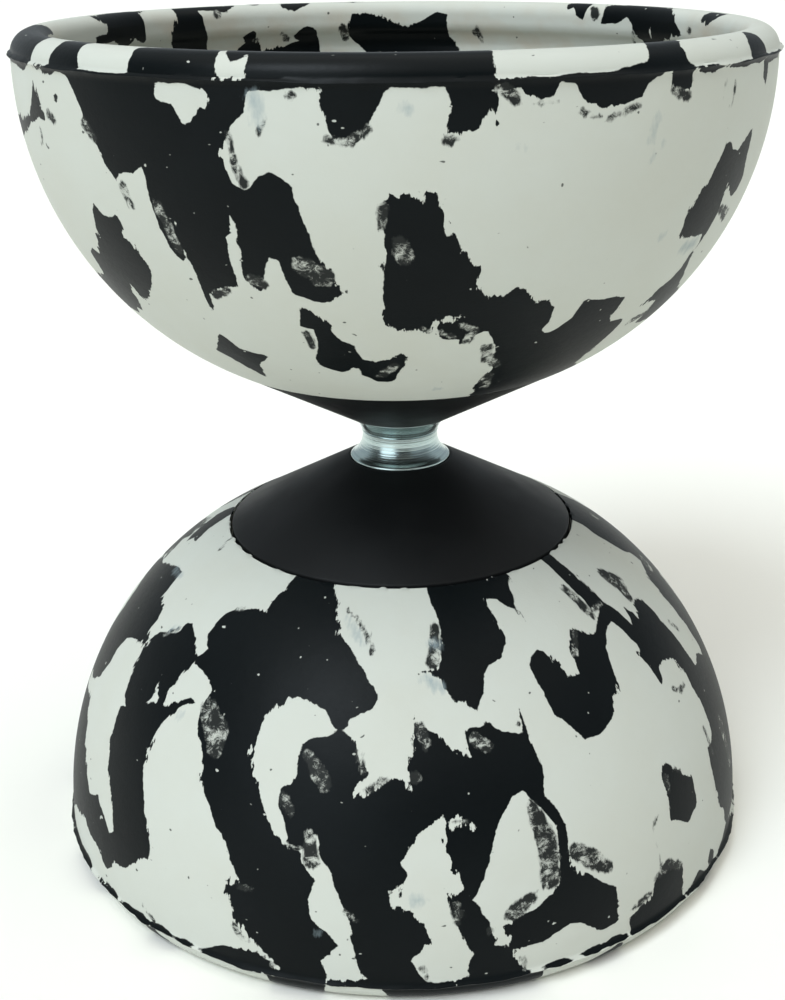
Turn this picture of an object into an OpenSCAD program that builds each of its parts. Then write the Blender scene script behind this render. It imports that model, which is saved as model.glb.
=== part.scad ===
// Diabolo with a fixed axle: two marbled rubber cups, base to base, clamped on a turned steel spool.
// The origin is on the axis, at the plane that the lower rim rests on. +Z runs up the axis.
// Each half is drawn once with its heights counted from the middle of the axle, then turned over
// for the lower half.

/* [Cups] */
// Diameter of each cup over its wall
cup_d = 124.6; // [118:0.2:132]
// Height of the whole diabolo, rim to rim
height = 144.4; // [138:0.2:156]
// Radius of the arc that the outside of the dome follows
dome_r = 57.2; // [55:0.1:59]
// Thickness of the rubber wall below the bead
wall = 3.6; // [3:0.1:4.4]
// Thickness of the rubber floor between the hub cone and the clamp plate
floor_t = 4; // [3.5:0.1:6]
// Radius of the round bead along the rim, on its outer side
bead_r = 3.5; // [3.2:0.1:4]
// Radius of the bead on its inner side
lip_r = 2.6; // [2.2:0.1:3]
// Width of the flat land along the top of the bead
land_w = 1.2; // [0.8:0.1:2]
// How far the mould flash stands out from the wall
flash_out = 0.6; // [0.3:0.1:0.8]
// Thickness of the mould flash
flash_t = 0.8; // [0.5:0.1:1.2]

/* [Hub cones] */
// Diameter of each cone at its wide edge
cone_d = 61.4; // [58:0.2:64]
// Thickness of the skin over the cored pockets
skin = 3; // [2.5:0.1:3.5]
// Thickness of the cone's rim, which sits in the pocket of the cup
cone_rim_t = 2.65; // [2.2:0.05:3]
// Diameter of the boss that carries the cup
boss_d = 26; // [25:0.1:27]
// Number of stiffening ribs behind the cone
cone_ribs = 8; // [4:1:12]
// Thickness of those ribs
rib_t = 1.6; // [1.2:0.1:2]

/* [Axle] */
// Diameter of the spool at its waist, where the string runs
waist_d = 13.4; // [12.6:0.1:14.4]
// Diameter of the spool's flanges
flange_d = 17.8; // [17:0.1:18.4]
// Width of the bare metal between the two cones
gap_w = 7.5; // [7:0.1:9]
// Width across the flats of the hexagonal spigots
spigot_af = 13; // [12.4:0.1:13.4]
// Length of each spigot beyond its flange
spigot_l = 11.4; // [10.5:0.1:12]
// Height of the fine turned line above the middle of the waist
line_z = 1.1; // [0.6:0.1:1.6]

/* [Clamping] */
// Diameter of the clamp plates inside the cups
plate_d = 52; // [44:1:58]
// Thickness of a clamp plate's web
plate_t = 2.5; // [2:0.1:3.5]
// Height of a clamp plate over its ribs and rims
plate_h = 5; // [4:0.1:6]
// Number of ribs on a clamp plate
plate_ribs = 6; // [4:1:10]
// Nominal diameter of the axle screws
screw_d = 8; // [6:1:8]
// Length of the axle screws under their heads
screw_l = 25; // [23:1:26]

/* [Hidden] */

$fn = 96;
eps = 0.01;      // overlap that keeps cuts clean
root = 1;        // how far a joined shape runs into its neighbour
far = 200;       // longer than anything here, for cutting away one side

// Heights and radii, from the middle of the axle outwards
mid_z = height / 2;
cup_r = cup_d / 2;
arc_x = cup_r - dome_r;                              // axis of the dome's arc
arc_z = 67;                                          // height where the wall stands upright
bead_drop = bead_r - sqrt(bead_r ^ 2 - (land_w / 2) ^ 2);   // what the flat land takes off
bead_z = mid_z - bead_r + bead_drop;                 // middle of the bead's outer round
bead_x = cup_r - bead_r;
inner_r = dome_r - wall;                             // radius of the inside arc
inner_z = arc_z + 1.2;                               // its middle is higher, so the base is thicker
lip_z = mid_z - lip_r + bead_drop;                   // middle of the bead's inner round
lip_face = 1.4;                                      // height of the bead's upright inner face
cone_r = cone_d / 2;
cone_edge_z = arc_z - sqrt(dome_r ^ 2 - (cone_r - arc_x) ^ 2);
seat_z = cone_edge_z + cone_rim_t;                   // back of the cone, on which the rubber lies
floor_z = seat_z + floor_t;                          // inside floor of the cup
flange_r = flange_d / 2;
flange_z = gap_w / 2;                                // edge of the bare metal
shoulder_z = flange_z + 1.85;                        // where the spigot starts
spigot_z = shoulder_z + spigot_l;
spigot_play = 0.1;                                   // room round the spigot in its socket
socket_room = 0.3;                                   // room past the spigot's end
cone_small_r = flange_r + 0.5;                       // narrow end of the cone
cone_small_z = flange_z + 0.3;
slope = (cone_edge_z - cone_small_z) / (cone_r - cone_small_r);
skin_z = skin * sqrt(1 + slope ^ 2);                 // the skin's thickness, measured upright
boss_r = boss_d / 2;
boss_z = floor_z - 0.5;                              // the boss stops short, so the rubber is squeezed
clear_r = screw_d / 2 + 0.5;                         // clearance hole for the screw
core_in_r = boss_r + 2.5;
core_out_r = cone_r - 3.7;
fit_gap = 0.15;                                      // room between the rubber and the cone

washer_t = 1.6;
washer_r = 8;
washer_play = 0.2;                                   // room round the screw
lock_t = 2;
lock_r = 7.4;
lock_play = 0.1;
lock_gap = 1.5;                                      // width of the split
lock_turn = 35;                                      // where the split lies round the screw
pad_z = floor_z + 3.5;                               // seat of the washers on the clamp plate
lock_z = pad_z + washer_t;
head_z = lock_z + lock_t;                            // underside of the screw's head
head_r = 7;
head_h = 4.4;
head_side_h = 0.8;                                   // upright part of the head's side
head_top_r = 3.9;
key_af = 5;
key_depth = 3;
shank_r = screw_d / 2 - 0.05;
point_h = 1;                                         // chamfer at the screw's tip

// Circumradius of a hexagon with this width across its flats
function hex_r(af) = af / 2 / cos(30);

// Puts a half that is drawn upwards from the middle of the axle in its place
module half(upper) {
    translate([0, 0, mid_z]) rotate([upper ? 0 : 180, 0, 0]) children();
}

// One cup: a dome with a beaded rim, a flat floor with a hole, and a shallow pocket for the cone
module cup(upper) {
    pocket_r = cone_r + fit_gap;
    hole_r = boss_r + fit_gap;
    color("gainsboro") half(upper) rotate_extrude() {
        difference() {
            union() {
                intersection() {
                    translate([arc_x, arc_z]) circle(r = dome_r, $fn = 180);
                    translate([0, 0]) square([cup_r, arc_z]);
                }
                translate([arc_x, arc_z]) square([dome_r, bead_z - arc_z]);
            }
            // the hollow inside
            intersection() {
                translate([arc_x, inner_z]) circle(r = inner_r, $fn = 180);
                translate([0, floor_z]) square([cup_r, inner_z - floor_z]);
            }
            translate([0, floor_z]) square([arc_x + eps, far]);
            translate([0, inner_z - eps]) square([arc_x + inner_r, far]);
            // the pocket that takes the cone, and the hole round its boss
            square([pocket_r, seat_z]);
            square([hole_r, floor_z + eps]);
        }
        // the bead: a large round outside, a smaller one inside, and an upright face between
        intersection() {
            translate([bead_x, bead_z]) circle(r = bead_r, $fn = 64);
            translate([bead_x, bead_z]) square([bead_r, bead_r - bead_drop]);
        }
        intersection() {
            translate([bead_x, lip_z]) circle(r = lip_r, $fn = 64);
            translate([bead_x - lip_r, 0]) square([2 * lip_r, mid_z]);
        }
        translate([bead_x - lip_r, lip_z - lip_face]) square([2 * lip_r, lip_face]);
        translate([bead_x, lip_z - lip_face]) circle(r = lip_r, $fn = 64);
        // the flash that the two halves of the mould leave
        polygon([[bead_x, bead_z - flash_t / 2], [cup_r + flash_out, bead_z - flash_t / 6],
                 [cup_r + flash_out, bead_z + flash_t / 6], [bead_x, bead_z + flash_t / 2]]);
    }
}

// Section of the cone: its sloping face, its rim, the boss, and the bores down its middle
module cone_section() {
    difference() {
        union() {
            polygon([[0, cone_small_z], [cone_small_r, cone_small_z], [cone_r, cone_edge_z],
                     [cone_r, seat_z], [0, seat_z]]);
            translate([0, seat_z - root]) square([boss_r, boss_z - seat_z + root]);
        }
        // everything below the narrow end
        square([far, cone_small_z]);
        // counterbore for the flange and clearance for the screw
        square([flange_r + spigot_play, shoulder_z]);
        square([clear_r, far]);
    }
}

// One hub cone: moulded hollow behind its face, with ribs, and a hexagonal socket for the axle
module hub_cone(upper) {
    core_in_z = cone_small_z + (core_in_r - cone_small_r) * slope + skin_z;
    core_out_z = cone_small_z + (core_out_r - cone_small_r) * slope + skin_z;
    rib_l = core_out_r - core_in_r + 2 * root;
    color([0.07, 0.07, 0.075]) half(upper) {
        difference() {
            rotate_extrude() cone_section();
            translate([0, 0, shoulder_z - eps])
                cylinder(r = hex_r(spigot_af) + spigot_play, h = spigot_l + socket_room, $fn = 6);
            difference() {
                rotate_extrude()
                    polygon([[core_in_r, seat_z + eps], [core_in_r, core_in_z],
                             [core_out_r, core_out_z], [core_out_r, seat_z + eps]]);
                for (i = [0 : cone_ribs - 1])
                    rotate([0, 0, i * 360 / cone_ribs])
                        translate([core_in_r - root, -rib_t / 2, 0]) cube([rib_l, rib_t, far]);
            }
        }
    }
}

// Profile of one end of the spool, from its middle to the end of the spigot's flange
module spool_section() {
    waist_r = waist_d / 2;
    rise = flange_r - waist_r;
    groove_r = (flange_z ^ 2 + rise ^ 2) / (2 * rise);
    line_r = 0.16;                                   // depth of the turned line
    line_x = waist_r + groove_r - sqrt(groove_r ^ 2 - line_z ^ 2);
    difference() {
        translate([0, -shoulder_z]) square([flange_r, 2 * shoulder_z]);
        intersection() {
            translate([waist_r + groove_r, 0]) circle(r = groove_r, $fn = 128);
            translate([0, -flange_z]) square([far, 2 * flange_z]);
        }
        translate([line_x, line_z]) circle(r = line_r, $fn = 24);
    }
}

// The axle: a spool with a concave waist, a flange and a hexagonal spigot at each end, and
// a tapped hole in each spigot
module axle() {
    tapped_r = screw_d / 2;
    tapped_room = 0.5;                               // room past the screw's tip
    tapped_l = screw_l - (head_z - spigot_z) + tapped_room;
    color("silver") translate([0, 0, mid_z]) difference() {
        union() {
            rotate_extrude() spool_section();
            for (end = [0, 180])
                rotate([end, 0, 0]) translate([0, 0, shoulder_z - root])
                    cylinder(r = hex_r(spigot_af), h = spigot_l + root, $fn = 6);
        }
        for (end = [0, 180])
            rotate([end, 0, 0]) translate([0, 0, spigot_z - tapped_l])
                cylinder(r = tapped_r, h = tapped_l + eps);
    }
}

// One clamp plate: a ribbed disc with a raised rim and a raised seat for the washers
module clamp_plate(upper) {
    plate_r = plate_d / 2;
    rim_t = 2.2;
    seat_r = 11.5;
    seat_wall = 2.2;
    edge_cut = 0.8;                                  // chamfer along the rim
    rib_drop = 0.6;                                  // the ribs end this far below the rims
    color([0.08, 0.08, 0.085]) half(upper) translate([0, 0, floor_z]) difference() {
        union() {
            rotate_extrude() {
                translate([clear_r, 0]) square([plate_r - clear_r, plate_t]);
                translate([plate_r - rim_t, 0]) polygon([[0, 0], [rim_t, 0],
                    [rim_t, plate_h - edge_cut], [rim_t - edge_cut, plate_h], [0, plate_h]]);
                translate([seat_r - seat_wall, 0]) square([seat_wall, plate_h]);
                translate([clear_r, 0]) square([seat_r - clear_r, pad_z - floor_z]);
            }
            for (i = [0 : plate_ribs - 1])
                rotate([0, 0, i * 360 / plate_ribs])
                    translate([seat_r - root, -rib_t / 2, 0])
                        cube([plate_r - rim_t - seat_r + 2 * root, rib_t, plate_h - rib_drop]);
        }
        translate([0, 0, -eps]) cylinder(r = clear_r, h = far);
    }
}

// One flat washer
module flat_washer(upper) {
    color("lightsteelblue") half(upper) translate([0, 0, pad_z]) difference() {
        cylinder(r = washer_r, h = washer_t);
        translate([0, 0, -eps]) cylinder(r = screw_d / 2 + washer_play, h = washer_t + 2 * eps);
    }
}

// One split spring washer, drawn flat as it is when the screw is tight
module lock_washer(upper) {
    color("slategray") half(upper) translate([0, 0, lock_z]) difference() {
        cylinder(r = lock_r, h = lock_t);
        translate([0, 0, -eps]) cylinder(r = screw_d / 2 + lock_play, h = lock_t + 2 * eps);
        rotate([0, 0, lock_turn]) translate([0, -lock_gap / 2, -eps])
            cube([far, lock_gap, lock_t + 2 * eps]);
    }
}

// One axle screw: a button head with a hexagon socket, on a plain shank
module axle_screw(upper) {
    tip_z = head_z - screw_l;
    // the dome's circle passes through the head's edge and the rim of its flat top
    dome_h = head_h - head_side_h;
    dome_low = (head_r ^ 2 - head_top_r ^ 2 - dome_h ^ 2) / (2 * dome_h);
    dome_low_r = sqrt(head_r ^ 2 + dome_low ^ 2);
    color("lightgray") half(upper) difference() {
        rotate_extrude() {
            polygon([[0, tip_z], [shank_r - point_h, tip_z], [shank_r, tip_z + point_h],
                     [shank_r, head_z + eps], [0, head_z + eps]]);
            // the button head: an upright edge under a dome
            translate([0, head_z]) square([head_r, head_side_h]);
            intersection() {
                translate([0, head_z + head_side_h - dome_low]) circle(r = dome_low_r);
                translate([0, head_z]) square([head_r, head_h]);
            }
        }
        translate([0, 0, head_z + head_h - key_depth])
            cylinder(r = hex_r(key_af), h = key_depth + eps, $fn = 6);
    }
}

axle();
hub_cone(true);  // hub_cone_upper
hub_cone(false);  // hub_cone_lower
cup(true);  // cup_upper
cup(false);  // cup_lower
clamp_plate(true);  // clamp_plate_upper
clamp_plate(false);  // clamp_plate_lower
flat_washer(true);  // flat_washer_upper
flat_washer(false);  // flat_washer_lower
lock_washer(true);  // lock_washer_upper
lock_washer(false);  // lock_washer_lower
axle_screw(true);  // axle_screw_upper
axle_screw(false);  // axle_screw_lower
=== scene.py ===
import math
import random

import bmesh
import bpy
import numpy as np
from mathutils import Matrix, Vector, noise
from mathutils.kdtree import KDTree


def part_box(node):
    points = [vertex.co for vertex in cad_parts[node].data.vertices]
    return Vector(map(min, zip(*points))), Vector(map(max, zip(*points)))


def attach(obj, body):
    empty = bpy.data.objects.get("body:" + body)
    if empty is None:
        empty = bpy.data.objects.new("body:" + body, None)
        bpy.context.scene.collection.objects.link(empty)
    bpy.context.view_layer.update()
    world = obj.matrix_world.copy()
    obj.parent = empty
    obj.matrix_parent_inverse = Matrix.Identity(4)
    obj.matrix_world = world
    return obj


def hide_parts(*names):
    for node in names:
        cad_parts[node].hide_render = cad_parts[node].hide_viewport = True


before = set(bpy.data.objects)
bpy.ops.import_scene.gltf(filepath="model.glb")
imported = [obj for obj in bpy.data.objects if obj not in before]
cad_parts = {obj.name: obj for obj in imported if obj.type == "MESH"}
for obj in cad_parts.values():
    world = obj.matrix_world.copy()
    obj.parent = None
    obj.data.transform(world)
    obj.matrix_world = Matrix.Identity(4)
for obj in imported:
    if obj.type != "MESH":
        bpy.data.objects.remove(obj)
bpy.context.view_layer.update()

MM = 0.001


# ---- Table, light and camera ------------------------------------------------------------------
# The diabolo stands on one rim on a pale table in a white room. A soft window is high on the
# front left; the room behind the viewer is darker, so black rubber stays dark where it faces it.

axle_low, axle_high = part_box("axle")
middle = (axle_low.z + axle_high.z) / 2             # height of the middle of the axle, in metres

scene = bpy.context.scene
scene.view_settings.view_transform = "Standard"


def to_linear(hex_colour):
    """The linear colour of an sRGB hex colour, with an alpha of 1."""
    parts = [int(hex_colour[i:i + 2], 16) / 255 for i in (1, 3, 5)]
    return [p / 12.92 if p <= 0.04045 else ((p + 0.055) / 1.055) ** 2.4 for p in parts] + [1.0]


def add_node(tree, kind, links=None, **settings):
    """Adds a node. links gives its sockets, by name, identifier or number, a value or a socket."""
    node = tree.nodes.new(kind)
    for name, value in settings.items():
        setattr(node, name, value)
    for key, value in (links or {}).items():
        socket = node.inputs[key] if isinstance(key, int) else next(
            s for s in node.inputs if key in (s.identifier, s.name))
        if isinstance(value, bpy.types.NodeSocket):
            tree.links.new(value, socket)
        else:
            socket.default_value = value
    return node


def start_material(name):
    """A new material, its node tree and its shader."""
    material = bpy.data.materials.new(name)
    material.use_nodes = True
    return material, material.node_tree, material.node_tree.nodes["Principled BSDF"]


def finish_mesh(bm, name, sharp_degrees=30):
    """Closes seams, turns faces outwards, shades the mesh smooth between sharp edges, links it."""
    bmesh.ops.remove_doubles(bm, verts=bm.verts, dist=1e-6)
    bmesh.ops.recalc_face_normals(bm, faces=bm.faces)
    for face in bm.faces:
        face.smooth = True
    for edge in bm.edges:
        edge.smooth = edge.calc_face_angle(math.pi) < math.radians(sharp_degrees)
    mesh = bpy.data.meshes.new(name)
    bm.to_mesh(mesh)
    bm.free()
    piece = bpy.data.objects.new(name, mesh)
    scene.collection.objects.link(piece)
    return piece


floor_half = 6.0
bm = bmesh.new()
bmesh.ops.create_grid(bm, x_segments=1, y_segments=1, size=floor_half)
table = finish_mesh(bm, "table")
paint, tree, shader = start_material("matt white table paint")
shade = add_node(tree, "ShaderNodeTexNoise", {"Scale": 3.0, "Detail": 1.0})
tone = add_node(tree, "ShaderNodeMix", {"Factor_Float": shade.outputs["Fac"],
                "A_Color": to_linear("#F2F1EA"), "B_Color": to_linear("#EFEEE7")}, data_type="RGBA")
tree.links.new(tone.outputs[2], shader.inputs["Base Color"])
shader.inputs["Roughness"].default_value = 0.9
shader.inputs["Specular IOR Level"].default_value = 0.1
table.data.materials.append(paint)

room = bpy.data.worlds.new("white room")
scene.world = room
room.use_nodes = True
tree = room.node_tree
tree.nodes.clear()
way = add_node(tree, "ShaderNodeSeparateXYZ",
               {"Vector": add_node(tree, "ShaderNodeTexCoord").outputs["Generated"]})
turn = add_node(tree, "ShaderNodeMath", {0: way.outputs["Y"], 1: -1.0}, operation="MULTIPLY")
turn = add_node(tree, "ShaderNodeMath", {0: way.outputs["X"], 1: turn.outputs[0]}, operation="ARCTAN2")
turn = add_node(tree, "ShaderNodeMapRange", {"Value": turn.outputs[0], "From Min": -math.pi,
                "From Max": math.pi})
walls = add_node(tree, "ShaderNodeValToRGB", {"Fac": turn.outputs["Result"]})
# brightness of the walls round the room: degrees from the front, and a share of the window's
wall_light = [(-180, 0.26), (-104, 0.26), (-86, 0.08), (-60, 0.07), (-53, 1.0), (-16, 1.0), (-12, 0.03),
              (30, 0.02), (36, 0.18), (82, 0.15), (104, 0.26), (180, 0.26)]
wall_tint = (0.86, 0.95, 1.0)
for k, (degrees, share) in enumerate(wall_light):
    where = (degrees + 180) / 360
    stop = walls.color_ramp.elements[k] if k < 2 else walls.color_ramp.elements.new(where)
    stop.position = where
    stop.color = [part * share for part in wall_tint] + [1]
glow = add_node(tree, "ShaderNodeBackground", {"Color": walls.outputs["Color"], "Strength": 2.0})
white = add_node(tree, "ShaderNodeBackground", {"Color": to_linear("#FFFFFF"), "Strength": 1.0})
seen = add_node(tree, "ShaderNodeLightPath").outputs["Is Camera Ray"]
mixed = add_node(tree, "ShaderNodeMixShader", {0: seen, 1: glow.outputs[0], 2: white.outputs[0]})
add_node(tree, "ShaderNodeOutputWorld", {"Surface": mixed.outputs[0]})


def add_window(name, azimuth, elevation, strength, spread, colour):
    """A soft distant light. Azimuth 0 is the front, and it grows towards +X; all in degrees."""
    window = bpy.data.lights.new(name, "SUN")
    window.energy = strength
    window.angle = math.radians(spread)
    window.color = to_linear(colour)[:3]
    piece = bpy.data.objects.new(name, window)
    az, el = math.radians(azimuth), math.radians(elevation)
    towards = Vector((math.sin(az) * math.cos(el), -math.cos(az) * math.cos(el), math.sin(el)))
    piece.rotation_euler = towards.to_track_quat("Z", "Y").to_euler()
    scene.collection.objects.link(piece)


add_window("window", -38, 52, 1.35, 26, "#E8F4FF")
add_window("ceiling light", 20, 78, 1.6, 90, "#FFF9F0")

camera_right = 2.7                                  # place of the camera in mm, from the middle of
camera_away = 255.0                                 # the axle
camera_up = 89.1
camera_down = 0.3014                                # pitch below level, in radians
camera_roll = -0.0077
camera = bpy.data.objects.new("camera", bpy.data.cameras.new("camera"))
camera.location = (camera_right * MM, -camera_away * MM, middle + camera_up * MM)
camera.rotation_euler = (Matrix.Rotation(math.pi / 2 - camera_down, 3, "X")
                         @ Matrix.Rotation(camera_roll, 3, "Z")).to_euler()
camera.data.lens = 53.93
camera.data.sensor_width = 36
camera.data.shift_x = -0.022
camera.data.shift_y = -0.120
camera.data.clip_start = 0.01
scene.collection.objects.link(camera)
scene.camera = camera


# ---- Axle ---------------------------------------------------------------------------------------
# A spool turned from one bar of steel and polished: a concave waist for the string, a flange at
# each end with a broken edge, and a hexagonal spigot beyond each flange with a tapped hole.

waist_r = 6.7
flange_r = 8.9
groove_half = 3.75                                  # half the width of the bare metal
shoulder_z = 5.6                                    # end of the flange, from the middle
spigot_z = 17.0
spigot_flats = 13.0
tapped_r = 4.0
line_height = 1.1                                   # the fine ring line above the waist
line_depth = 0.16


def arc(mid_r, mid_z, radius, start, end, step):
    """Points of an arc, radius and height in mm, from start to end in degrees, step apart."""
    count = max(2, round(abs(math.radians(end - start)) * radius / step))
    turns = [math.radians(start + (end - start) * i / count) for i in range(count + 1)]
    return [(mid_r + radius * math.cos(t), mid_z + radius * math.sin(t)) for t in turns]


def lathe(bm, outline, steps=192, closed=True):
    """Spins an outline of (radius, height) in mm, from the middle of the axle, into a solid."""
    verts = [bm.verts.new((r * MM, 0, middle + z * MM)) for r, z in outline]
    pairs = list(zip(verts, verts[1:] + (verts[:1] if closed else [])))
    edges = [bm.edges.new(pair) for pair in pairs]
    bmesh.ops.spin(bm, geom=verts + edges, cent=(0, 0, 0), axis=(0, 0, 1), angle=2 * math.pi,
                   steps=steps, use_merge=True)


def broach(bm, radius, flats, low, high):
    """Moves the points at that radius, between two heights, on to a hexagon. All in mm."""
    for vert in bm.verts:
        z = (vert.co.z - middle) / MM
        reach = math.hypot(vert.co.x, vert.co.y) / MM
        if abs(reach - radius) < 0.01 and low - 0.01 < z < high + 0.01:
            turn = math.atan2(vert.co.y, vert.co.x) % (math.pi / 3) - math.pi / 6
            vert.co.xy *= flats / 2 / math.cos(turn) / radius


def soften(bm, width, segments=2, over_degrees=30):
    """Rounds every edge that is sharper than an angle. The width is in mm."""
    edges = [e for e in bm.edges if e.calc_face_angle(0) > math.radians(over_degrees)]
    bmesh.ops.bevel(bm, geom=edges, offset=width * MM, segments=segments, profile=0.5,
                    affect="EDGES", material=-1, clamp_overlap=True)


def turn_over(bm):
    """Turns a piece that was drawn for the upper half over, for the lower half."""
    bmesh.ops.rotate(bm, verts=bm.verts, cent=(0, 0, middle), matrix=Matrix.Rotation(math.pi, 3, "X"))


rise = flange_r - waist_r
groove_r = (groove_half ** 2 + rise ** 2) / (2 * rise)
groove_mid = waist_r + groove_r
edge_turn = math.degrees(math.asin(groove_half / groove_r))
line_turn = math.degrees(math.asin(line_height / groove_r))
line_turn_half = math.degrees(line_depth / groove_r)
waist = arc(groove_mid, 0, groove_r, 180 + edge_turn, 180 - line_turn + line_turn_half, 0.3)
line_mid = (groove_mid - math.cos(math.radians(line_turn)) * groove_r - line_depth, line_height)
waist += [line_mid]
waist += arc(groove_mid, 0, groove_r, 180 - line_turn - line_turn_half, 180 - edge_turn, 0.3)
spigot_r = spigot_flats / 2
bore_end = 9.0                                      # the tapped holes stop this far from the middle
half_side = [(flange_r, groove_half + 0.1), (flange_r, shoulder_z), (spigot_r, shoulder_z),
             (spigot_r, spigot_z), (tapped_r, spigot_z), (tapped_r, bore_end), (0, bore_end)]
bm = bmesh.new()
lathe(bm, [(r, -z) for r, z in half_side[::-1]] + waist + half_side, closed=False)
for low, high in ((shoulder_z, spigot_z), (-spigot_z, -shoulder_z)):
    broach(bm, spigot_r, spigot_flats, low, high)
bmesh.ops.remove_doubles(bm, verts=bm.verts, dist=1e-6)
soften(bm, 0.12, over_degrees=50)
axle = finish_mesh(bm, "turned_axle")

# Turned and polished steel: bright, with fine rings left by the tool that streak every reflection
# up and down, and a faint blue-green cast.
steel, tree, shader = start_material("turned bright steel")
ring_pitch = 0.4                                    # mm between tool marks, coarser than real ones
place = add_node(tree, "ShaderNodeTexCoord").outputs["Object"]
flat = add_node(tree, "ShaderNodeMapping", {"Vector": place, "Scale": (2, 2, 1 / (ring_pitch * MM))})
rings = add_node(tree, "ShaderNodeTexNoise", {"Vector": flat.outputs[0], "Scale": 1.0, "Detail": 3.0,
                 "Roughness": 0.7})
smears = add_node(tree, "ShaderNodeTexNoise", {"Vector": place, "Scale": 1 / (2.5 * MM), "Detail": 3.0})
tone = add_node(tree, "ShaderNodeMix", {"Factor_Float": rings.outputs["Fac"],
                "A_Color": to_linear("#84999B"), "B_Color": to_linear("#E0EFED")}, data_type="RGBA")
tree.links.new(tone.outputs[2], shader.inputs["Base Color"])
dull = add_node(tree, "ShaderNodeMapRange", {"Value": smears.outputs["Fac"], "From Min": 0.3,
                "From Max": 0.7, "To Min": 0.14, "To Max": 0.24})
tree.links.new(dull.outputs["Result"], shader.inputs["Roughness"])
relief = add_node(tree, "ShaderNodeBump", {"Height": rings.outputs["Fac"], "Strength": 1.0,
                  "Distance": 0.1 * MM})
tree.links.new(relief.outputs["Normal"], shader.inputs["Normal"])
shader.inputs["Metallic"].default_value = 1.0
axle.data.materials.append(steel)
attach(axle, "root")
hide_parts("axle")


# ---- Hub cones ----------------------------------------------------------------------------------
# Two cones moulded in black glass-filled nylon. Each is cored out behind its face, with eight ribs,
# and has a hexagonal socket for the spigot and a boss that carries the rubber cup.

cone_r = 30.7
cone_edge_z = 15.85                                 # height of its wide edge over the middle
seat_z = 18.5                                       # back of the cone
floor_z = 22.5                                      # inside floor of the cup
boss_r = 13.0
boss_z = 22.0
neck_r = 9.4
neck_z = 4.05
skin_t = 3.4
core_in_r = 15.5
core_out_r = 27.0
rib_count = 8
rib_t = 1.6
socket_r = 6.6
screw_hole_r = 4.5


def add_rib(bm, inner, outer, low_in, low_out, high, thick, turn):
    """A rib between two radii, its lower edge sloped. All in mm, and the turn in degrees."""
    rib = bmesh.ops.create_cube(bm, size=MM)["verts"]
    for vert in rib:
        low = low_in if vert.co.x < 0 else low_out
        vert.co.z = middle + (high if vert.co.z > 0 else low) * MM
        vert.co.x = (inner if vert.co.x < 0 else outer) * MM
        vert.co.y *= thick
    bmesh.ops.rotate(bm, verts=rib, cent=(0, 0, 0), matrix=Matrix.Rotation(math.radians(turn), 3, "Z"))


def cone_face(radius):
    """Height of the cone's face at a radius."""
    return neck_z + (radius - neck_r) * (cone_edge_z - neck_z) / (cone_r - neck_r)


# Black glass-filled nylon: matt, with the fine even grain of a spark-eroded mould, drawn coarser
# than the real one so that it shows, and faint clouds of a slightly different gloss.
nylon, tree, shader = start_material("glass-filled nylon")
place = add_node(tree, "ShaderNodeTexCoord").outputs["Object"]
grain = add_node(tree, "ShaderNodeTexNoise", {"Vector": place, "Scale": 1 / (0.3 * MM), "Detail": 3.0})
cloud = add_node(tree, "ShaderNodeTexNoise", {"Vector": place, "Scale": 1 / (9 * MM), "Detail": 4.0})
tone = add_node(tree, "ShaderNodeMix", {"Factor_Float": cloud.outputs["Fac"],
                "A_Color": to_linear("#050607"), "B_Color": to_linear("#0E1011")}, data_type="RGBA")
tree.links.new(tone.outputs[2], shader.inputs["Base Color"])
dull = add_node(tree, "ShaderNodeMapRange", {"Value": cloud.outputs["Fac"], "From Min": 0.3,
                "From Max": 0.7, "To Min": 0.48, "To Max": 0.60})
tree.links.new(dull.outputs["Result"], shader.inputs["Roughness"])
relief = add_node(tree, "ShaderNodeBump", {"Height": grain.outputs["Fac"], "Strength": 0.35,
                  "Distance": 0.05 * MM})
tree.links.new(relief.outputs["Normal"], shader.inputs["Normal"])
shader.inputs["Specular IOR Level"].default_value = 0.2

for side_name in ("upper", "lower"):
    bm = bmesh.new()
    lathe(bm, [(flange_r + 0.1, neck_z), (neck_r, neck_z), (cone_r, cone_edge_z), (cone_r, seat_z),
               (core_out_r, seat_z), (core_out_r, cone_face(core_out_r) + skin_t),
               (core_in_r, cone_face(core_in_r) + skin_t), (core_in_r, seat_z), (boss_r, seat_z),
               (boss_r, boss_z), (screw_hole_r, boss_z), (screw_hole_r, spigot_z + 0.3),
               (socket_r, spigot_z + 0.3), (socket_r, shoulder_z), (flange_r + 0.1, shoulder_z)])
    broach(bm, socket_r, 2 * socket_r, shoulder_z, spigot_z + 0.3)
    soften(bm, 0.25, over_degrees=25)
    for i in range(rib_count):
        add_rib(bm, core_in_r - 0.5, core_out_r + 0.5, cone_face(core_in_r) + skin_t - 0.5,
                cone_face(core_out_r) + skin_t - 0.5, seat_z - 0.02, rib_t, i * 360 / rib_count)
    if side_name == "lower":
        turn_over(bm)
    cone = finish_mesh(bm, "nylon_cone_" + side_name)
    cone.data.materials.append(nylon)
    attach(cone, "root")
    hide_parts("hub_cone_" + side_name)


# ---- Rubber cups --------------------------------------------------------------------------------
# Each cup is moulded from scraps of black and off-white rubber laid in the mould together. They
# squeeze into lumps with torn, combed edges, and the mould leaves a ragged flash below the bead.

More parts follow.
